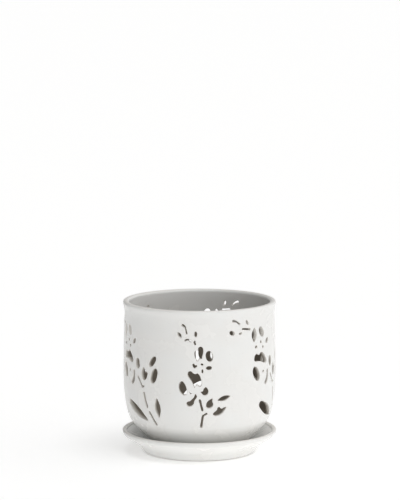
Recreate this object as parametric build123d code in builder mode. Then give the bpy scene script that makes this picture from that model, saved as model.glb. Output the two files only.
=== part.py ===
import os
from math import cos, radians, sin

from build123d import *

# Pot: a barrel with a rolled lip and a drawn-in bottom. Sizes are in mm, heights from its own base.
pot_height = 144.6
pot_wall = 4.3
pot_belly_radius = 75.8
pot_belly_height = 74.6
pot_neck_draw = 1.6             # how much narrower than the belly the neck is
pot_corner_draw = 5.8           # the same, where the cone of the bottom would meet the barrel
pot_corner_height = 22.3
pot_corner_round = 34.0
pot_base_draw = 30.4            # the same, at the base
pot_lip_overhang = 1.8          # how far the lip stands out from the neck
pot_lip_height = 4.6
pot_lip_seat = 1.6              # height of the slope under the lip
pot_lip_round = 2.1             # outer edge of the lip
pot_lip_bevel = 2.9             # inner edge of the lip
pot_foot_width = 7.0
pot_foot_height = 1.2           # depth of the recess inside the pot's foot
drain_radius = 10.0

# Saucer: a flared dish on a foot ring. Heights are from the surface it stands on.
saucer_height = 22.0
saucer_wall = 4.4
saucer_rim_margin = 1.2         # how far the rim stands out past the pot's belly
saucer_rim_band = 4.7           # upright part of the rim
saucer_rim_edge_share = 0.45    # rounding and bevel of the rim's edges, as a share of the wall
saucer_turn_share = 0.75        # rounding below the upright rim, as a share of its height
saucer_floor_margin = 8.0       # from the pot's base out to where the flared side begins, underneath
saucer_floor_round = 5.0        # between the floor and the flared side, inside
saucer_foot_step = 2.2          # how far the foot stands out from there
saucer_foot_width = 6.0
saucer_foot_height = 3.0        # depth of the recess inside the foot ring
saucer_foot_flare = 5.9         # how much wider the foot is at its top
saucer_foot_bite = 0.9          # how far the foot's top reaches into the flared side

# Orchid sprays cut through the wall: two designs side by side, repeated round the pot
spray_repeats = 3
spray_foot = 29.0               # lowest stem end, above the pot's base
spray_top_gap = 4.8             # highest bud, below the lip
spray_drawing_height = 104.6    # height at which the rises, lengths and widths below are drawn
petal_blunt_share = 0.55        # blunt end of a petal, as a share of its width
bud_shoulder_share = 0.5        # parallel stretch of a bud, as a share of its length
cut_clearance = 2.0             # how far a cut starts outside the wall and ends inside it

# Sizes that follow from those above
pot_inside_radius = pot_belly_radius - pot_wall
pot_neck_radius = pot_belly_radius - pot_neck_draw
pot_rim_radius = pot_neck_radius + pot_lip_overhang
pot_mouth_radius = pot_neck_radius - pot_wall
pot_corner_radius = pot_belly_radius - pot_corner_draw
pot_base_radius = pot_belly_radius - pot_base_draw
pot_lip_base = pot_height - pot_lip_height
pot_neck_height = pot_lip_base - pot_lip_seat
barrel_middle = (pot_corner_height + pot_belly_height) / 2
shoulder_middle = (pot_belly_height + pot_neck_height) / 2
saucer_rim_radius = pot_belly_radius + saucer_rim_margin
saucer_rim_edge = saucer_wall * saucer_rim_edge_share
saucer_turn_height = saucer_height - saucer_rim_band
saucer_turn_round = saucer_rim_band * saucer_turn_share
saucer_floor_radius = pot_base_radius + saucer_floor_margin
saucer_floor_height = saucer_foot_height + saucer_wall
saucer_flare = (saucer_turn_height - saucer_foot_height) / (saucer_rim_radius - saucer_floor_radius)
saucer_foot_radius = saucer_floor_radius + saucer_foot_step
saucer_foot_reach = saucer_foot_step + saucer_foot_flare
saucer_foot_top = saucer_foot_height + saucer_foot_reach * saucer_flare + saucer_foot_bite
spray_height = pot_neck_height - spray_top_gap - spray_foot
spray_scale = spray_height / spray_drawing_height
cut_depth = pot_corner_draw + pot_wall + 2 * cut_clearance

# Top edges of the two rims, as radius and height
saucer_rim_outer = (saucer_rim_radius, saucer_height)
saucer_rim_inner = (saucer_rim_radius - saucer_wall, saucer_height)
pot_lip_outer = (pot_rim_radius, pot_height)
pot_lip_inner = (pot_mouth_radius, pot_height)

# The pot stands on the saucer's floor
pot_section_plane = Plane((0, 0, saucer_floor_height), x_dir=(1, 0, 0), z_dir=(0, -1, 0))


def nearest_corner(section, place):
    return section.vertices().sort_by_distance(place)[0]


def inset_corner(corner, before, after, depth):
    """Where two lines meet that run a depth to the left of two lines through a corner."""
    left_before = before.rotate(Axis.Z, 90)
    left_after = after.rotate(Axis.Z, 90)
    return corner + (left_before + left_after) * (depth / (1 + left_before.dot(left_after)))


def leaf(length, width):
    """Two arcs that meet in points."""
    with BuildLine() as edge:
        right = ThreePointArc((0, -length / 2), (width / 2, 0), (0, length / 2))
        ThreePointArc(right @ 1, (-width / 2, 0), right @ 0)
    make_face(edge.edges())


def petal(length, width):
    """Two arcs with blunt ends."""
    blunt = petal_blunt_share * width / 2
    with BuildLine() as edge:
        right = ThreePointArc((blunt, -length / 2), (width / 2, 0), (blunt, length / 2))
        left = ThreePointArc((-blunt, length / 2), (-width / 2, 0), (-blunt, -length / 2))
        Line(right @ 1, left @ 0)
        Line(left @ 1, right @ 0)
    make_face(edge.edges())


def bud(length, width):
    """Six straight nicks round a small hole."""
    shoulder = length * bud_shoulder_share / 2
    with BuildLine() as edge:
        Polyline(
            (0, -length / 2),
            (width / 2, -shoulder),
            (width / 2, shoulder),
            (0, length / 2),
            (-width / 2, shoulder),
            (-width / 2, -shoulder),
            close=True,
        )
    make_face(edge.edges())


def slit(length, width):
    """A straight stem."""
    Rectangle(width, length)


# Each cut: outline, bearing round the pot from its front in degrees, rise above the spray's foot,
# length, width, and how many degrees its upper end leans to the right
arching_spray = [
    # Twigs and closed buds
    (bud, -93.0, 104.0, 4.8, 1.8, 86),
    (slit, -89.7, 102.0, 5.9, 1.0, -50),
    (bud, -81.4, 102.0, 5.0, 2.1, -25),
    (slit, -82.4, 95.5, 10.0, 1.2, -83),
    (bud, -94.9, 92.8, 5.8, 4.0, -60),
    (slit, -87.8, 91.8, 2.8, 1.0, 62),
    # Upper flower
    (leaf, -74.4, 88.6, 14.0, 6.6, 3),
    (petal, -65.8, 90.6, 11.0, 6.6, -30),
    (bud, -58.3, 80.8, 6.0, 4.0, 42),
    (bud, -72.5, 76.6, 2.8, 2.4, 60),
    (bud, -66.8, 80.6, 2.4, 2.0, 0),
    (bud, -64.2, 75.4, 2.4, 2.1, 0),
    # Lower flower
    (bud, -71.9, 65.9, 8.4, 5.4, 8),
    (petal, -66.0, 65.4, 14.5, 8.5, -48),
    (petal, -54.0, 59.6, 10.2, 6.4, 0),
    (petal, -72.5, 49.9, 15.5, 8.4, -25),
    (bud, -64.2, 51.1, 2.2, 1.9, 0),
    (leaf, -59.9, 49.0, 10.0, 2.6, 0),
    (bud, -61.4, 41.6, 9.0, 2.8, 28),
    # Side flower
    (petal, -37.9, 63.6, 12.4, 5.6, 36),
    (petal, -47.1, 50.2, 13.6, 6.2, -4),
    (bud, -44.2, 50.6, 7.6, 4.2, 20),
    (petal, -36.4, 49.6, 15.6, 7.0, 22),
    # Stem and leaves
    (slit, -51.5, 42.5, 12.9, 1.5, -35),
    (slit, -47.8, 37.6, 4.0, 1.8, 55),
    (slit, -45.9, 24.2, 15.6, 1.6, -13),
    (slit, -40.2, 6.6, 15.1, 1.7, -28),
    (leaf, -56.7, 11.5, 35.0, 9.3, -62),
    (leaf, -33.7, 18.1, 19.4, 6.2, -2),
]
upright_spray = [
    # Twigs and closed buds
    (bud, -12.4, 101.0, 4.4, 1.7, -54),
    (slit, -10.3, 96.8, 7.4, 1.1, -13),
    (bud, -14.9, 91.8, 5.6, 2.4, -36),
    (slit, -9.6, 87.1, 3.6, 1.1, 70),
    (slit, -7.6, 86.8, 3.3, 1.1, -52),
    (bud, -2.9, 92.9, 5.2, 2.3, 0),
    (slit, -3.4, 84.7, 4.4, 1.3, -13),
    # Upper flower
    (petal, -2.0, 71.9, 10.4, 4.2, -3),
    (petal, 0.8, 74.8, 12.0, 4.6, 0),
    (petal, 7.5, 71.4, 10.4, 6.6, -10),
    (bud, -4.1, 62.4, 3.6, 1.4, -32),
    (bud, -3.0, 61.6, 3.0, 2.0, 45),
    (bud, 1.9, 63.4, 2.4, 1.5, -60),
    (bud, 2.1, 56.8, 3.4, 1.3, 0),
    (bud, 7.0, 60.1, 5.2, 3.3, 85),
    # Lower flower
    (petal, -1.7, 48.2, 13.0, 7.4, -12),
    (petal, -5.9, 51.9, 11.5, 5.4, -32),
    (leaf, -3.5, 44.1, 7.0, 3.0, -5),
    (petal, -12.7, 40.0, 14.0, 7.0, -12),
    (bud, -6.5, 35.5, 1.8, 1.6, 0),
    (bud, -7.4, 25.3, 8.0, 6.0, 65),
    (leaf, -3.8, 30.9, 9.0, 2.8, 22),
    (petal, 4.5, 36.8, 9.0, 6.0, 8),
    (bud, 2.0, 35.6, 3.4, 2.0, -70),
    # Stem and leaves
    (petal, 7.5, 24.3, 10.0, 7.0, 30),
    (leaf, 18.8, 29.6, 13.4, 4.4, 75),
    (leaf, 15.2, 16.8, 16.6, 6.8, 58),
    (slit, 1.2, 23.0, 11.5, 1.5, -14),
    (slit, 2.15, 6.0, 11.9, 1.7, 8),
    (slit, 4.2, 13.2, 4.9, 1.4, 52),
]


def cut_plane(bearing, rise, lean):
    turn = radians(bearing)
    tip = radians(lean)
    outward = Vector(sin(turn), -cos(turn), 0)
    height = saucer_floor_height + spray_foot + rise * spray_scale
    return Plane(
        outward * (pot_belly_radius + cut_clearance) + (0, 0, height),
        x_dir=(cos(turn) * cos(tip), sin(turn) * cos(tip), -sin(tip)),
        z_dir=outward,
    )


with BuildPart() as saucer:
    with BuildSketch(Plane.XZ) as saucer_section:
        with BuildLine():
            FilletPolyline(
                (0, saucer_foot_height),
                (saucer_floor_radius, saucer_foot_height),
                (saucer_rim_radius, saucer_turn_height),
                saucer_rim_outer,
                radius=[saucer_floor_round + saucer_wall, saucer_turn_round],
            )
            offset(amount=saucer_wall, side=Side.LEFT)
        make_face()
        fillet(nearest_corner(saucer_section, saucer_rim_outer), radius=saucer_rim_edge)
        chamfer(nearest_corner(saucer_section, saucer_rim_inner), length=saucer_rim_edge)
        with BuildLine():
            Polyline(
                (saucer_foot_radius - saucer_foot_width, saucer_foot_height + saucer_wall / 2),
                (saucer_foot_radius - saucer_foot_width, 0),
                (saucer_foot_radius, 0),
                (saucer_floor_radius + saucer_foot_reach, saucer_foot_top),
                close=True,
            )
        make_face()
    revolve(axis=Axis.Z)
saucer.part.label = "saucer"

with BuildPart() as spray_cuts:
    for outline, bearing, rise, length, width, lean in arching_spray + upright_spray:
        with BuildSketch(cut_plane(bearing, rise, lean)):
            outline(length * spray_scale, width * spray_scale)
    extrude(amount=-cut_depth)

with BuildPart() as pot:
    with BuildSketch(pot_section_plane) as pot_section:
        with BuildLine():
            base = Line((0, 0), (pot_base_radius, 0))
            cone = Line(base @ 1, (pot_corner_radius, pot_corner_height))
            belly = (pot_belly_radius, pot_belly_height)
            barrel = Bezier(cone @ 1, (pot_belly_radius, barrel_middle), belly)
            neck = (pot_neck_radius, pot_neck_height)
            mouth = (pot_mouth_radius, pot_neck_height)
            Bezier(belly, (pot_belly_radius, shoulder_middle), neck)
            Polyline(
                neck,
                (pot_rim_radius, pot_lip_base),
                pot_lip_outer,
                pot_lip_inner,
                mouth,
            )
            inside_belly = (pot_inside_radius, pot_belly_height)
            inside_corner = inset_corner(cone @ 1, cone % 1, barrel % 0, pot_wall)
            inside_base = inset_corner(base @ 1, base % 1, cone % 0, pot_wall)
            Bezier(mouth, (pot_inside_radius, shoulder_middle), inside_belly)
            Bezier(inside_belly, (pot_inside_radius, barrel_middle), inside_corner)
            Polyline(inside_corner, inside_base, (0, pot_wall), (0, 0))
        make_face()
        fillet(nearest_corner(pot_section, cone @ 1), radius=pot_corner_round)
        fillet(nearest_corner(pot_section, inside_corner), radius=pot_corner_round - pot_wall)
        fillet(nearest_corner(pot_section, pot_lip_outer), radius=pot_lip_round)
        chamfer(nearest_corner(pot_section, pot_lip_inner), length=pot_lip_bevel)
    revolve(axis=Axis.Z)
    with BuildSketch(Plane.XY.offset(saucer_floor_height)):
        Circle(pot_base_radius - pot_foot_width)
    extrude(amount=pot_foot_height, mode=Mode.SUBTRACT)
    with BuildSketch(Plane.XY.offset(saucer_floor_height)):
        Circle(drain_radius)
    extrude(amount=pot_wall, mode=Mode.SUBTRACT)
    with PolarLocations(0, spray_repeats):
        add(spray_cuts.part, mode=Mode.SUBTRACT)
pot.part.label = "pot"

os.makedirs("parts", exist_ok=True)
export_step(saucer.part, "parts/saucer.step")
export_step(pot.part, "parts/pot.step")
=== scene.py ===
import math
import bmesh
import bpy
from mathutils import Matrix, Vector


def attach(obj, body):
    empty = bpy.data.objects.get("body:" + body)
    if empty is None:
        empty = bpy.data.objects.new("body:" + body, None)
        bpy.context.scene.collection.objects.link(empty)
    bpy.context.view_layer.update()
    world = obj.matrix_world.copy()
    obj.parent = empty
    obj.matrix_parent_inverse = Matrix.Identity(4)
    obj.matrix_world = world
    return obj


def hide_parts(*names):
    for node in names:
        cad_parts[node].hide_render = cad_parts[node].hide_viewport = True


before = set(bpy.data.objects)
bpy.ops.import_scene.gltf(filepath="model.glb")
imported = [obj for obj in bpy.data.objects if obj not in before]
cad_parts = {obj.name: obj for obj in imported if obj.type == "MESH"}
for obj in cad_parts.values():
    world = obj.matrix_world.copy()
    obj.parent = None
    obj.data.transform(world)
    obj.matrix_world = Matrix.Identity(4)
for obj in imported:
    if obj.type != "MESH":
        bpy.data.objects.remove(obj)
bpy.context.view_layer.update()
print("frame loaded:", sorted(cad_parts))

# a glazed pot with sprays cut through its wall, standing loose in its saucer

mm = 0.001
turnSteps = 120              # facets round the pot and the saucer
columnStep = 360 / turnSteps
weldReach = 0.004 * mm       # points closer than this become one
ringReach = 0.001 * mm       # a point this close to a ring is on it


# shader sockets that take plain Python maths

class Wire:
    def __init__(self, socket):
        self.socket = socket
        self.tree = socket.id_data

    @staticmethod
    def node(tree, kind, settings=None, sockets=None, output=0):
        made = tree.nodes.new(kind)
        for name, value in (settings or {}).items():
            setattr(made, name, value)
        for name, value in (sockets or {}).items():
            if isinstance(value, Wire):
                tree.links.new(value.socket, made.inputs[name])
            else:
                made.inputs[name].default_value = value
        return None if output is None else Wire(made.outputs[output])

    def maths(self, operation, first, second):
        return Wire.node(self.tree, "ShaderNodeMath", {"operation": operation}, {0: first, 1: second})

    def __add__(self, other):
        return self.maths("ADD", self, other)

    __radd__ = __add__

    def __mul__(self, other):
        return self.maths("MULTIPLY", self, other)

    __rmul__ = __mul__

    def __sub__(self, other):
        return self.maths("SUBTRACT", self, other)

    def __rsub__(self, other):
        return self.maths("SUBTRACT", other, self)


def mixColour(tree, share, first, second):
    return Wire.node(tree, "ShaderNodeMix", {"data_type": "RGBA"},
                     {0: share, 6: first, 7: second}, output=2)       # the Mix node's colour sockets


def rampBetween(tree, value, low, high):
    return Wire.node(tree, "ShaderNodeMapRange", {"interpolation_type": "SMOOTHSTEP"},
                     {"Value": value, "From Min": low, "From Max": high})


def noise(tree, place, scale, detail=2.0):
    return Wire.node(tree, "ShaderNodeTexNoise", {}, {"Vector": place, "Scale": scale, "Detail": detail})


# satin white glaze over clay: bare clay at the foot, and painted shade in the clay colour inside the pot

glazeLook = {
    "cool": (0.88, 0.88, 0.862, 1), "warm": (0.88, 0.872, 0.848, 1),
    "cloudScale": 32, "cloudRange": (0.35, 0.65),       # the glaze drifts between cool and warm
    "thin": (0.83, 0.80, 0.75, 1),                      # where it runs thin over an edge
    "thinShare": 0.45, "thinPatches": 0.4,
    "speck": (0.52, 0.45, 0.36, 1), "speckShare": 0.12,
    "speckScale": 520, "speckRange": (0.80, 0.84),
    "clayAndShade": (0.31, 0.275, 0.23, 1), "clayAndShadeGrain": (0.235, 0.205, 0.168, 1),      # bare foot, and painted shade inside the pot
    "grainScale": 1600, "grainRelief": 0.6,
    "bareFoot": 0.2 * mm, "footFade": 0.35 * mm,
    "shadeLine": 119 * mm,                              # inside the mouth, painted shade in the clay colour begins below here
    "lineCloud": 5 * mm, "lineWander": 2 * mm,          # how far that line wavers
    "lineFade": 0.5 * mm, "lineThin": 5 * mm,
    "roughness": 0.27, "roughCloud": 0.04, "roughThin": 0.06, "roughClayAndShade": 0.45,
    "peelScale": 850, "peelRelief": 0.08,
    "wanderScale": 90, "wanderRelief": 0.25,
    "bumpStrength": 0.35, "bumpDepth": 0.1 * mm, "ior": 1.48,
}


def glazeMaterial(name, stand):
    look = glazeLook
    material = bpy.data.materials.new(name)
    material.use_nodes = True
    tree = material.node_tree
    tree.nodes.clear()
    place = Wire.node(tree, "ShaderNodeTexCoord", output="Object")
    height = Wire.node(tree, "ShaderNodeSeparateXYZ", {}, {0: place}, output="Z")
    thin = Wire.node(tree, "ShaderNodeAttribute", {"attribute_name": "glazeThin"}, output="Fac")
    inside = Wire.node(tree, "ShaderNodeAttribute", {"attribute_name": "insideWall"}, output="Fac")
    cloud = noise(tree, place, look["cloudScale"], 3.0)
    peel = noise(tree, place, look["peelScale"])
    wander = noise(tree, place, look["wanderScale"])
    grain = noise(tree, place, look["grainScale"], 3.0)
    speck = rampBetween(tree, noise(tree, place, look["speckScale"], 0.0), *look["speckRange"])

    # bare clay under the foot; painted shade in the clay colour inside the pot, below the line and deep
    # in the cuts
    footTop = stand + look["bareFoot"]
    lineMiddle = look["shadeLine"] + (look["lineCloud"] + look["lineWander"]) / 2
    aboveLine = height + look["lineCloud"] * cloud + look["lineWander"] * wander - lineMiddle
    bareFootAndShade = inside * (1 - rampBetween(tree, aboveLine, 0, look["lineFade"]))
    bareFootAndShade = bareFootAndShade + (1 - rampBetween(tree, height, footTop, footTop + look["footFade"]))
    thin = thin + inside * (1 - rampBetween(tree, aboveLine, 0, look["lineThin"]))

    body = mixColour(tree, rampBetween(tree, cloud, *look["cloudRange"]), look["cool"], look["warm"])
    body = mixColour(tree, thin * (look["thinShare"] + look["thinPatches"] * wander), body, look["thin"])
    body = mixColour(tree, speck * look["speckShare"], body, look["speck"])
    clayAndShade = mixColour(tree, grain, look["clayAndShade"], look["clayAndShadeGrain"])
    colour = mixColour(tree, bareFootAndShade, body, clayAndShade)
    rough = look["roughness"] - look["roughCloud"] / 2
    rough = rough + look["roughCloud"] * cloud + look["roughThin"] * thin + look["roughClayAndShade"] * bareFootAndShade
    relief = peel * look["peelRelief"] + wander * look["wanderRelief"]
    relief = relief + grain * bareFootAndShade * look["grainRelief"]
    bump = Wire.node(tree, "ShaderNodeBump", {}, {
        "Strength": look["bumpStrength"], "Distance": look["bumpDepth"], "Height": relief,
    })
    shader = Wire.node(tree, "ShaderNodeBsdfPrincipled", {}, {
        "Base Color": colour, "Roughness": rough, "Normal": bump, "IOR": look["ior"],
    })
    Wire.node(tree, "ShaderNodeOutputMaterial", {}, {"Surface": shader}, output=None)
    return material


# shared mesh steps

def turnedPlace(radius, height, bearing):
    angle = math.radians(bearing)
    return Vector((radius * math.sin(angle), -radius * math.cos(angle), height)) * mm


def spinProfile(bm, profile, bearing):
    points = [bm.verts.new(turnedPlace(radius, height, bearing)) for radius, height in profile]
    lines = [bm.edges.new(pair) for pair in zip(points, points[1:])]
    bmesh.ops.spin(bm, geom=points + lines, cent=(0, 0, 0), axis=(0, 0, 1), angle=math.tau,
                   steps=turnSteps, use_merge=True)


def softenRing(bm, radius, height, size, segments):
    def onRing(vert):
        off = abs(vert.co.xy.length - radius * mm)
        return off < ringReach and abs(vert.co.z - height * mm) < ringReach

    ring = [edge for edge in bm.edges if onRing(edge.verts[0]) and onRing(edge.verts[1])]
    bmesh.ops.bevel(bm, geom=ring, offset=size * mm, offset_type="OFFSET", segments=segments,
                    profile=0.5, affect="EDGES", material=-1, clamp_overlap=True)


def finishPiece(bm, name, body, node, material):
    bmesh.ops.remove_doubles(bm, verts=bm.verts[:], dist=weldReach)
    bmesh.ops.recalc_face_normals(bm, faces=bm.faces[:])
    for face in bm.faces:
        face.smooth = True
    mesh = bpy.data.meshes.new(name)
    bm.to_mesh(mesh)
    bm.free()
    piece = bpy.data.objects.new(name, mesh)
    bpy.context.scene.collection.objects.link(piece)
    mesh.materials.append(material)
    weighted = piece.modifiers.new("evenNormals", "WEIGHTED_NORMAL")
    weighted.mode = "FACE_AREA"
    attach(piece, body)
    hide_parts(node)
    print(name, "faces", len(mesh.polygons))


# saucer, in mm from the table

saucerShape = {
    "rim": 77.0, "height": 22.0, "wall": 4.4, "turnHeight": 17.9,
    "floorTop": 7.4, "recess": 3.0, "floorEdge": 51.0, "innerTurn": 19.7,
    "footInner": 49.6, "foot": 55.6, "waist": 60.3, "waistHeight": 7.1,
    "rimThin": 1.2,          # the glaze is thin this far below the rim
    "rounding": {            # size and steps at each corner
        "footInner": (0.8, 3), "foot": (1.2, 4), "waist": (2.2, 4), "turn": (2.6, 6),
        "rim": (1.9, 6), "mouth": (2.1, 6), "innerTurn": (1.6, 4), "floorEdge": (3.5, 5),
    },
}


def makeSaucer():
    dish = saucerShape
    inner = dish["rim"] - dish["wall"]
    corners = {
        "underMiddle": (0, dish["recess"]), "underEdge": (dish["footInner"], dish["recess"]),
        "footInner": (dish["footInner"], 0), "foot": (dish["foot"], 0),
        "waist": (dish["waist"], dish["waistHeight"]),
        "turn": (dish["rim"], dish["turnHeight"]), "rim": (dish["rim"], dish["height"]),
        "mouth": (inner, dish["height"]), "innerTurn": (inner, dish["innerTurn"]),
        "floorEdge": (dish["floorEdge"], dish["floorTop"]), "floorMiddle": (0, dish["floorTop"]),
    }
    bm = bmesh.new()
    spinProfile(bm, corners.values(), 0)
    bmesh.ops.remove_doubles(bm, verts=bm.verts[:], dist=weldReach)
    for corner, (size, steps) in dish["rounding"].items():
        softenRing(bm, *corners[corner], size, steps)
    thin = bm.verts.layers.float.new("glazeThin")
    for vert in bm.verts:
        vert[thin] = max(0.0, 1 - (dish["height"] - vert.co.z / mm) / dish["rimThin"])
    finishPiece(bm, "saucerDish", "saucer", "saucer", glazeMaterial("saucerGlaze", 0))


makeSaucer()

# pot, in mm from its own foot

potShape = {
    "stand": saucerShape["floorTop"],    # what the pot stands on
    "height": 144.6, "wall": 4.3,
    "base": 45.4, "corner": 69.2, "cornerHeight": 24.0, "cornerSoft": 1.8,
    "belly": 75.8, "bellyHeight": 74.6, "bellyTuck": 2.6,
    "neck": 74.2, "neckHeight": 138.4, "neckTuck": 2,
    "rim": 76.0, "lipBase": 141.4, "flareStart": 135.2, "flareSlope": 0.32, "flareSoft": 0.6,
    "foot": 38.4, "recess": 1.2, "drain": 10.0,
    "rounding": {                        # size and steps at each corner
        "lipBase": (0.8, 3), "lip": (2.1, 7), "mouth": (2.9, 7), "base": (1.0, 4), "foot": (0.5, 2),
        "drainUnder": (0.6, 3), "drainTop": (0.9, 3), "floorEdge": (1.6, 4),
    },
    "neckRing": 139.2, "floorTurn": 2.2,             # rings under the lip and at the edge of the floor
    "outerRings": (26, 25, 24.2, 23.4, 22.4, 21, 17, 12, 8, 4),      # close together round the bend
    "innerRings": (8, 12, 16, 20),
    "rimThin": 1.2,                      # the glaze is thin this far below the lip
    "floorShare": 0.9, "wallShare": 0.8,             # of the wall, past which a point is inside
    "cutShadeFade": (0.12, 0.92),             # painted shade: the cut walls darken to the clay colour between these shares of the wall
    "glazeEdge": 0.45,                   # rounding of the cut edges
    "cutEase": 0.25,                     # the cuts open this much past their drawn outline
    "cutHandle": 0.19, "cutSteps": 4,    # roundness and steps of the outlines between their points
    "panelLow": 27.2, "panelHigh": 137.0, "rowStep": 4.575,
    "seamLow": 27.0, "seamHigh": 21.0,   # bearing of the leaning seam between two repeats
    "repeats": 3,

    # cuts of one repeat: places are bearing in degrees from the front and height above the table in mm
    "loops": [
        # upright spray: upper flower, lower flower, notched leaf
        [(-1.5, 103.2), (-0.3, 105.6), (1.4, 105.4), (1.9, 108), (2.6, 112), (2.3, 115.8), (0.9, 117.0),
         (-0.6, 116), (-1.0, 113.5), (-2.3, 113.4), (-3.4, 112), (-3.4, 108.5), (-2.5, 105.2)],
        [(-8.6, 89.6), (-8.1, 92.2), (-6.5, 92.9), (-4.7, 91.1), (-3.2, 90.2), (-1.4, 90.8), (-0.1, 89),
         (0.9, 85.5), (1.4, 80.6), (0.5, 78.4), (-0.9, 79.2), (-2.5, 79.8), (-3.6, 77.0), (-4.4, 80),
         (-5.7, 83.5), (-7.6, 87)],
        [(-15.2, 79), (-14.4, 81.8), (-13.0, 82.8), (-11.4, 81), (-10.0, 77), (-9.6, 72.4),
         (-10.0, 70.1), (-11.5, 69.7), (-13.4, 71.2), (-14.9, 74.6)],
        [(-2.9, 70.6), (-2.1, 68.6), (-2.7, 66.4), (-4.0, 64), (-4.6, 60.8), (-6.4, 58.8), (-8.4, 58.8),
         (-9.6, 61), (-8.7, 62.8), (-6.9, 63.4), (-5.4, 65.3), (-4.0, 67.3)],
        [(1.0, 73.2), (2.2, 73.0), (2.9, 74.2), (3.6, 76.3), (4.5, 77.4), (5.6, 76.2), (6.4, 73.5),
         (6.0, 71.2), (4.6, 69.7), (3.0, 69.9), (2.0, 71.3)],
        [(9.7, 65.9), (7.6, 64.7), (5.8, 62.3), (5.2, 59), (5.8, 57.2), (7.6, 56.8), (9.5, 58.2),
         (10.2, 60.5), (9.4, 63)],
        [(10.4, 50.4), (11.3, 49.1), (13.6, 48.9), (16.5, 50.3), (18.8, 53.5), (20.4, 57.1),
         (18.6, 56.3), (16.6, 55.3), (14.9, 57.2), (13.8, 56.4), (13.4, 54.3), (11.7, 52.4)],
        # arching spray: paired petals, side petal
        [(-74.6, 101), (-73.8, 104.6), (-71.5, 105.7), (-69.2, 104.3), (-67.4, 106.4), (-65, 106.2),
         (-62, 103), (-59.8, 98.4), (-60.2, 96.2), (-62.5, 95.9), (-65.5, 97.2), (-68.5, 98.5),
         (-72, 98.6), (-74, 99.2)],
        [(-46.2, 93.2), (-45, 90.8), (-43.9, 89.2), (-42.5, 88.2), (-42.5, 86), (-43.4, 83),
         (-45.1, 80.8), (-47, 81), (-48.1, 84), (-48.3, 88), (-47.5, 91)],
    ],
    # stems and twigs: bearing, height and width along the way
    "stems": [
        [(-13.1, 138.3, 1.5), (-11.5, 137.0, 1.8), (-10.6, 135.6, 0.9), (-10.1, 133, 0.8),
         (-9.5, 129.6, 0.8)],
        [(-11.0, 122.9, 0.7), (-8.5, 124.1, 1.0), (-6.4, 122.1, 0.8)],
        [(-3.8, 122.8, 1.2), (-3.6, 121, 1.4), (-3.0, 119.0, 0.8)],
        [(-4.7, 100.1, 1.2), (-3.5, 97.7, 2.6), (-2.1, 98.7, 1.4)],
        [(0.2, 65.0, 1.3), (1.1, 60, 1.4), (2.3, 54.0, 1.3)],
        [(1.3, 36.8, 1.6), (1.9, 42.5, 1.6), (2.6, 48.2, 1.6), (3.9, 49.9, 1.2), (5.8, 51.2, 0.9)],
        [(-94.4, 141.0, 1.3), (-92.4, 140.7, 1.7), (-90.4, 139.6, 1.0), (-88.2, 137.2, 0.9)],
        [(-86.0, 132.5, 0.9), (-82, 131.9, 1.2), (-78.5, 131.3, 1.3)],
        [(-88.8, 127.7, 0.9), (-86.8, 128.7, 0.9)],
        [(-53.0, 83.3, 1.0), (-49.6, 77.3, 1.3), (-47.4, 73.6, 1.9), (-45.9, 75.2, 0.9)],
        [(-46.2, 68, 1.4), (-45, 61, 1.6), (-43.4, 53.6, 1.5)],
        [(-42, 49.5, 1.4), (-39.5, 44, 1.7), (-36.4, 36.6, 1.6)],
        [(-58.0, 88.2, 1.8), (-58.1, 83, 2.5), (-59.2, 78, 3.8), (-61.4, 75, 2.4)],
    ],
    # petals and leaves: outline, bearing, height, length, width, lean to the right in degrees
    "single": [
        ("leaf", -15.0, 128.3, 6.2, 2.7, -36), ("petal", -2.8, 129.3, 5.0, 2.1, 0),
        ("petal", 7.3, 107.7, 10.2, 6.4, -10),
        ("petal", 1.9, 99.8, 2.2, 1.4, -60), ("petal", 2.2, 93.2, 3.2, 1.2, 0),
        ("petal", 7.0, 96.3, 5.2, 3.2, 85), ("petal", -6.5, 71.9, 1.6, 1.5, 0),
        ("leaf", 18.5, 65.9, 13.2, 4.2, 74),
        ("petal", -81.4, 138.4, 4.8, 2.0, -25), ("petal", -94.9, 129.2, 5.4, 3.8, -60),
        ("leaf", -74.4, 125.0, 14.0, 6.4, 3), ("petal", -65.8, 127.0, 10.8, 6.4, -30),
        ("leaf", -58.3, 117.2, 6.4, 4.0, 42), ("petal", -72.5, 113.0, 2.8, 2.4, 60),
        ("petal", -66.8, 117.0, 2.4, 2.0, 0), ("petal", -64.2, 111.8, 2.4, 2.1, 0),
        ("petal", -53.2, 96.0, 10.0, 6.0, -8), ("petal", -72.5, 86.3, 15.0, 8.2, -25),
        ("petal", -64.2, 87.5, 2.2, 1.9, 0), ("petal", -37.4, 100.0, 12.0, 5.4, 36),
        ("petal", -36.0, 86.0, 15.2, 6.8, 18), ("blade", -56.4, 48.1, 34.6, 9.4, -62),
        ("leaf", -33.3, 54.4, 19.2, 6.2, -4),
    ],
    # outlines across and along, from -1 to 1
    "outlines": {
        "petal": [(0, -1), (0.72, -0.72), (1, 0), (0.72, 0.72), (0, 1), (-0.72, 0.72), (-1, 0),
                  (-0.72, -0.72)],
        "leaf": [(0, -1), (0.72, -0.5), (1, 0), (0.72, 0.5), (0, 1), (-0.72, 0.5), (-1, 0),
                 (-0.72, -0.5)],
        "blade": [(0, -1), (0.7, -0.5), (1, 0), (0.86, 0.55), (0.4, 0.93), (-0.4, 0.93), (-0.86, 0.55),
                  (-1, 0), (-0.7, -0.5)],
    },
}


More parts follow.
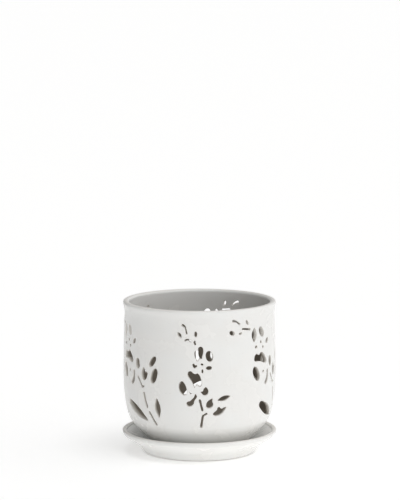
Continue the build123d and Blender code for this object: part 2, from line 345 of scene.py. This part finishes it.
def potRadius(height):
    pot = potShape
    if height > pot["bellyHeight"]:
        share = (height - pot["bellyHeight"]) / (pot["neckHeight"] - pot["bellyHeight"])
        return pot["belly"] - (pot["belly"] - pot["neck"]) * share ** pot["neckTuck"]
    share = (pot["bellyHeight"] - height) / (pot["bellyHeight"] - pot["cornerHeight"])
    barrel = pot["belly"] - (pot["belly"] - pot["corner"]) * share ** pot["bellyTuck"]
    cone = pot["base"] + height * (pot["corner"] - pot["base"]) / pot["cornerHeight"]
    apart = abs(cone - barrel) / pot["cornerSoft"]      # the cone runs into the barrel in a small bend
    return min(cone, barrel) - pot["cornerSoft"] * math.log(1 + math.exp(-apart))


def lipFlare(height):
    pot = potShape
    rise = (height - pot["flareStart"]) / pot["flareSoft"]
    return pot["flareSlope"] * pot["flareSoft"] * math.log(1 + math.exp(rise))


def wallPoint(height, inset):
    nudge = 0.05             # mm up and down, to find the slope
    slope = (potRadius(height + nudge) - potRadius(height - nudge)) / (2 * nudge)
    outward = Vector((1, -slope)).normalized()
    flare = lipFlare(height) * (1 - inset / potShape["wall"])     # only the outside flares
    return potRadius(height) + flare - outward.x * inset, height - outward.y * inset


# the wall is drawn flat, cut through, and then bent round: across is the arc at the belly, up is height

flatWeld = 0.002             # mm, on the flat wall


def flatPlace(bearing, height):
    return Vector((math.radians(bearing) * potShape["belly"], height))


def cutPlace(bearing, height):
    return flatPlace(bearing, height - potShape["stand"])


def growLoop(points, amount):
    area = sum(a.x * b.y - b.x * a.y for a, b in zip(points, points[1:] + points[:1]))
    side = 1 if area > 0 else -1
    grown = []
    for before, point, after in zip(points[-1:] + points[:-1], points, points[1:] + points[:1]):
        along = (after - before).normalized()
        grown.append(point + Vector((along.y, -along.x)) * amount * side)
    return grown


def stemLoop(way):
    points = [cutPlace(bearing, height) for bearing, height, _ in way]
    left, right = [], []
    for place, (point, (_, _, width)) in enumerate(zip(points, way)):
        along = (points[min(place + 1, len(points) - 1)] - points[max(place - 1, 0)]).normalized()
        across = Vector((-along.y, along.x)) * width / 2
        left.append(point + across)
        right.append(point - across)
    return left + right[::-1]


def singleLoop(shape, bearing, height, length, width, lean):
    turn = Matrix.Rotation(math.radians(-lean), 2)
    centre = cutPlace(bearing, height)
    outline = potShape["outlines"][shape]
    return [centre + turn @ Vector((x * width / 2, y * length / 2)) for x, y in outline]


def addLoop(curve, points):
    spline = curve.splines.new("BEZIER")
    spline.bezier_points.add(len(points) - 1)
    spline.use_cyclic_u = True
    spline.resolution_u = potShape["cutSteps"]
    ring = zip(points[-1:] + points[:-1], points, points[1:] + points[:1], spline.bezier_points)
    for before, point, after, knot in ring:
        pull = (after - before) * potShape["cutHandle"]
        knot.handle_left_type = knot.handle_right_type = "FREE"
        knot.co = point.to_3d()
        knot.handle_left = (point - pull).to_3d()
        knot.handle_right = (point + pull).to_3d()


def seamBearing(height):
    pot = potShape
    share = (height - pot["panelLow"]) / (pot["panelHigh"] - pot["panelLow"])
    return pot["seamLow"] + (pot["seamHigh"] - pot["seamLow"]) * share


def panelRows():
    pot = potShape
    count = round((pot["panelHigh"] - pot["panelLow"]) / pot["rowStep"])
    return [pot["panelLow"] + pot["rowStep"] * row for row in range(count + 1)]


def flatPanel():
    pot = potShape
    repeat = 360 / pot["repeats"]
    rows = panelRows()
    columns = [columnStep * step for step in range(round(repeat / columnStep))]
    border = [flatPlace(pot["seamLow"] - repeat + column, rows[0]) for column in columns]
    border += [flatPlace(seamBearing(row), row) for row in rows[:-1]]
    border += [flatPlace(pot["seamHigh"] - column, rows[-1]) for column in columns]
    border += [flatPlace(seamBearing(row) - repeat, row) for row in rows[:0:-1]]

    curve = bpy.data.curves.new("wallPanel", "CURVE")
    curve.dimensions = "2D"
    curve.fill_mode = "BOTH"
    curve.bevel_depth = pot["glazeEdge"]
    curve.bevel_resolution = 1
    curve.extrude = pot["wall"] / 2 - pot["glazeEdge"]
    edge = curve.splines.new("POLY")
    edge.points.add(len(border) - 1)
    edge.use_cyclic_u = True
    for knot, place in zip(edge.points, border):
        knot.co = (place.x, place.y, 0, 1)
    loops = [[cutPlace(*place) for place in loop] for loop in pot["loops"]]
    loops += [stemLoop(way) for way in pot["stems"]]
    loops += [singleLoop(*cut) for cut in pot["single"]]
    for loop in loops:
        addLoop(curve, growLoop(loop, pot["glazeEdge"] + pot["cutEase"]))
    holder = bpy.data.objects.new("wallPanel", curve)
    bpy.context.scene.collection.objects.link(holder)
    flat = bpy.data.meshes.new_from_object(holder.evaluated_get(bpy.context.evaluated_depsgraph_get()))
    bpy.data.objects.remove(holder)
    return flat


def slicePanel(bm, place, normal, clear=False):
    geometry = bm.verts[:] + bm.edges[:] + bm.faces[:]
    bmesh.ops.bisect_plane(bm, geom=geometry, dist=flatWeld, plane_co=place, plane_no=normal,
                           clear_outer=clear)


def tidyCells(bm, reach):
    # plain cells of the wall become one face each
    pot = potShape
    half = pot["wall"] / 2
    close = 1e-3             # mm, or a share of one cell

    def onCut(vert):
        return any(abs(edge.other_vert(vert).co.z - vert.co.z) > close for edge in vert.link_edges)

    def onGrid(edge):
        middle = (edge.verts[0].co + edge.verts[1].co) / 2
        column = (middle.x / reach - pot["seamLow"]) / columnStep
        row = (middle.y - pot["panelLow"]) / pot["rowStep"]
        return abs(column - round(column)) < close or abs(row - round(row)) < close

    cutVerts = {vert for vert in bm.verts if onCut(vert)}
    spare = [edge for edge in bm.edges if len(edge.link_faces) == 2 and not onGrid(edge)
             and abs(abs(edge.verts[0].co.z) - half) < close and not cutVerts.intersection(edge.verts)]
    bmesh.ops.dissolve_edges(bm, edges=spare, use_verts=False, use_face_split=False)
    loose = [vert for vert in bm.verts if len(vert.link_edges) == 2 and len(vert.link_faces) == 2]
    bmesh.ops.dissolve_verts(bm, verts=loose)


def bendPanel(bm, reach):
    pot = potShape
    wall = pot["wall"]
    surface = 0.01           # mm, this close to a face of the wall is on it
    shadeFrom, shadeFull = pot["cutShadeFade"]
    thin = bm.verts.layers.float.new("glazeThin")
    inside = bm.verts.layers.float.new("insideWall")
    for vert in bm.verts:
        inset = wall / 2 - vert.co.z
        # painted shade: darker towards the inside of each cut, full on the inner face
        vert[inside] = min(1.0, max(0.0, (inset / wall - shadeFrom) / (shadeFull - shadeFrom)))
        vert[thin] = float(surface < inset < wall - surface)
        radius, height = wallPoint(vert.co.y, inset)
        vert.co = turnedPlace(radius, height + pot["stand"], vert.co.x / reach)


def piercedWall():
    pot = potShape
    repeat = 360 / pot["repeats"]
    reach = math.radians(1) * pot["belly"]          # mm for a degree, on the flat wall
    low, high = pot["panelLow"], pot["panelHigh"]
    bm = bmesh.new()
    bm.from_mesh(flatPanel())
    bmesh.ops.remove_doubles(bm, verts=bm.verts[:], dist=flatWeld)
    lean = Vector(((pot["seamHigh"] - pot["seamLow"]) * reach, high - low, 0))
    outward = Vector((lean.y, -lean.x, 0)).normalized()
    slicePanel(bm, (0, high, 0), (0, 1, 0), True)
    slicePanel(bm, (0, low, 0), (0, -1, 0), True)
    slicePanel(bm, (pot["seamLow"] * reach, low, 0), outward, True)
    slicePanel(bm, ((pot["seamLow"] - repeat) * reach, low, 0), -outward, True)
    first = pot["seamHigh"] - repeat + columnStep
    for step in range(round((pot["seamLow"] - first) / columnStep)):
        slicePanel(bm, ((first + columnStep * step) * reach, 0, 0), (1, 0, 0))
    for row in panelRows()[1:-1]:
        slicePanel(bm, (0, row, 0), (0, 1, 0))
    sliced = len(bm.faces)
    tidyCells(bm, reach)
    print("flat panel faces", sliced, "tidied to", len(bm.faces))
    bendPanel(bm, reach)
    turns = pot["repeats"] - 1
    bmesh.ops.spin(bm, geom=bm.verts[:] + bm.edges[:] + bm.faces[:], cent=(0, 0, 0), axis=(0, 0, 1),
                   angle=math.radians(repeat * turns), steps=turns, use_duplicate=True)
    wall = bpy.data.meshes.new("piercedWall")
    bm.to_mesh(wall)
    bm.free()
    return wall


def turnedRings():
    pot = potShape
    low, high, top = pot["panelLow"], pot["panelHigh"], pot["height"]
    stand, wall = pot["stand"], pot["wall"]
    lipCorners = {
        "lipBase": (pot["rim"], pot["lipBase"]), "lip": (pot["rim"], top),
        "mouth": (pot["neck"] - wall, top),
    }
    footCorners = {
        "base": (pot["base"], 0), "foot": (pot["foot"], 0), "footRecess": (pot["foot"], pot["recess"]),
        "drainUnder": (pot["drain"], pot["recess"]), "drainTop": (pot["drain"], wall),
        "floorEdge": (wallPoint(pot["floorTurn"], wall)[0], wall),
    }
    corners = {**lipCorners, **footCorners}
    lip = [wallPoint(high, 0), wallPoint(pot["neckRing"], 0), *lipCorners.values(), wallPoint(high, wall)]
    bowl = [wallPoint(row, 0) for row in (low, *pot["outerRings"])]
    bowl += footCorners.values()
    bowl += [wallPoint(row, wall) for row in (*pot["innerRings"], low)]
    bm = bmesh.new()
    for profile in (lip, bowl):
        spinProfile(bm, [(radius, height + stand) for radius, height in profile], pot["seamLow"])
    bmesh.ops.remove_doubles(bm, verts=bm.verts[:], dist=weldReach)
    for corner, (size, steps) in pot["rounding"].items():
        radius, height = corners[corner]
        softenRing(bm, radius, height + stand, size, steps)
    thin = bm.verts.layers.float.new("glazeThin")
    inside = bm.verts.layers.float.new("insideWall")
    for vert in bm.verts:
        height = vert.co.z / mm - stand
        depth = potRadius(height) - vert.co.xy.length / mm
        vert[thin] = max(0.0, 1 - (top - height) / pot["rimThin"])
        # inner surfaces take the painted shade inside the pot
        vert[inside] = float(height > pot["floorShare"] * wall and depth > pot["wallShare"] * wall)
    print("turned rings faces", len(bm.faces))
    return bm


def makePot():
    bm = turnedRings()
    bm.from_mesh(piercedWall())
    finishPiece(bm, "potBody", "pot", "pot", glazeMaterial("potGlaze", potShape["stand"] * mm))


makePot()

# studio

studio = {
    "room": {"even": 0.47, "right": 0.45},      # an even tent, brighter to the right
    "sun": {"place": (0.1, -0.22, 1.05), "spread": 44, "strength": 0.9},
    "low": {"place": (0, -2.0, 0.16), "width": 1.6, "height": 0.28, "power": 3},
    "aim": (0, 0, 0.07),
    "floor": (0.95, 0.95, 0.945, 1), "floorReach": 40, "floorDrop": 0.2 * mm,
    "floorGlow": 0.295,                         # the floor shines a little, like a lit table
}


def addLamp(name, kind, place):
    lamp = bpy.data.lights.new(name, kind)
    holder = bpy.data.objects.new(name, lamp)
    bpy.context.scene.collection.objects.link(holder)
    holder.location = place
    aim = Vector(studio["aim"]) - Vector(place)
    holder.rotation_euler = aim.to_track_quat("-Z", "Y").to_euler()
    return lamp


def makeRoom():
    world = bpy.data.worlds.new("studioWorld")
    bpy.context.scene.world = world
    world.use_nodes = True
    tree = world.node_tree
    tree.nodes.clear()
    room = studio["room"]
    aim = Wire.node(tree, "ShaderNodeTexCoord", output="Generated")
    across = Wire.node(tree, "ShaderNodeSeparateXYZ", {}, {0: aim}, output="X")
    glow = room["even"] + room["right"] * across
    shader = Wire.node(tree, "ShaderNodeBackground", {}, {"Color": (1, 1, 1, 1), "Strength": glow})
    Wire.node(tree, "ShaderNodeOutputWorld", {}, {"Surface": shader}, output=None)


def makeLamps():
    sun = addLamp("softSun", "SUN", studio["sun"]["place"])
    sun.energy = studio["sun"]["strength"]
    sun.angle = math.radians(studio["sun"]["spread"])
    low = addLamp("lowSoftbox", "AREA", studio["low"]["place"])
    low.shape = "RECTANGLE"
    low.size = studio["low"]["width"]
    low.size_y = studio["low"]["height"]
    low.energy = studio["low"]["power"]


def makeFloor():
    bm = bmesh.new()
    bmesh.ops.create_grid(bm, x_segments=4, y_segments=4, size=studio["floorReach"])
    bmesh.ops.translate(bm, verts=bm.verts[:], vec=(0, 0, -studio["floorDrop"]))
    mesh = bpy.data.meshes.new("studioFloor")
    bm.to_mesh(mesh)
    bm.free()
    floor = bpy.data.objects.new("studioFloor", mesh)
    bpy.context.scene.collection.objects.link(floor)
    material = bpy.data.materials.new("paleFloor")
    material.use_nodes = True
    shader = material.node_tree.nodes["Principled BSDF"]
    shader.inputs["Base Color"].default_value = studio["floor"]
    shader.inputs["Roughness"].default_value = 1.0
    shader.inputs["Emission Color"].default_value = (1, 1, 1, 1)
    shader.inputs["Emission Strength"].default_value = studio["floorGlow"]
    mesh.materials.append(material)


makeRoom()
makeLamps()
makeFloor()
print("studio lit")

# camera at the photograph's angle

cameraView = {
    "place": (0.00054, -2.5, 0.5349), "pitch": 0.1325,       # metres, radians
    "lens": 183.04, "sensor": 36, "far": 100,
}


def makeCamera():
    lens = bpy.data.cameras.new("viewCamera")
    lens.lens = cameraView["lens"]
    lens.sensor_width = cameraView["sensor"]
    lens.clip_end = cameraView["far"]
    camera = bpy.data.objects.new("viewCamera", lens)
    bpy.context.scene.collection.objects.link(camera)
    camera.location = cameraView["place"]
    camera.rotation_euler = (math.pi / 2 - cameraView["pitch"], 0, 0)
    bpy.context.scene.camera = camera
    bpy.context.scene.view_settings.view_transform = "Standard"
    print("camera placed")


makeCamera()
